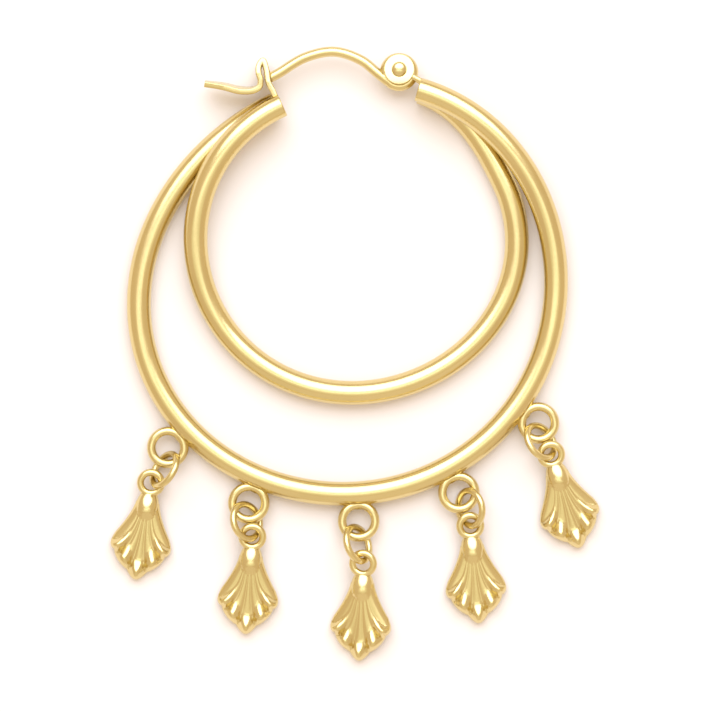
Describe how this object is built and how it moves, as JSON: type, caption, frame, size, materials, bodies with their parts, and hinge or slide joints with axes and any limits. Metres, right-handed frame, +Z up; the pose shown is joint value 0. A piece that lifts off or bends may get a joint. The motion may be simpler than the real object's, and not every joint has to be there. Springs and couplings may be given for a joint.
{
  "type": "chandelier earring",
  "caption": "Crescent of two polished gold tube hoops with a hinged ear wire, a folded catch and fluted shell charms hanging on jump rings along the lower edge.",
  "frame": {"origin": "on the surface that the earring lies on, under the middle of its box", "axes": "+Z up from that surface, square to the hoops; +Y from the charms to the ear wire; +X from the catch side to the hinge side"},
  "size_m": [0.0356, 0.0446, 0.0032],
  "materials": {
    "polished_gold": "polished yellow gold"
  },
  "bodies": {
    "hoop": {"double_hoop": "polished_gold", "hinge_rivet": "polished_gold", "jump_ring_1": "polished_gold", "jump_ring_2": "polished_gold", "jump_ring_3": "polished_gold", "jump_ring_4": "polished_gold", "jump_ring_5": "polished_gold", "shell_charm_1": "polished_gold", "shell_charm_2": "polished_gold", "shell_charm_3": "polished_gold", "shell_charm_4": "polished_gold", "shell_charm_5": "polished_gold"},
    "ear_wire": {"ear_wire": "polished_gold"}
  },
  "joints": [
    {"name": "wire_hinge", "type": "hinge", "parent": "hoop", "child": "ear_wire", "pos_m": [0.00322, 0.02064, 0.00158], "axis": [0, 0, 1], "range_deg": [-110, 0]}
  ]
}
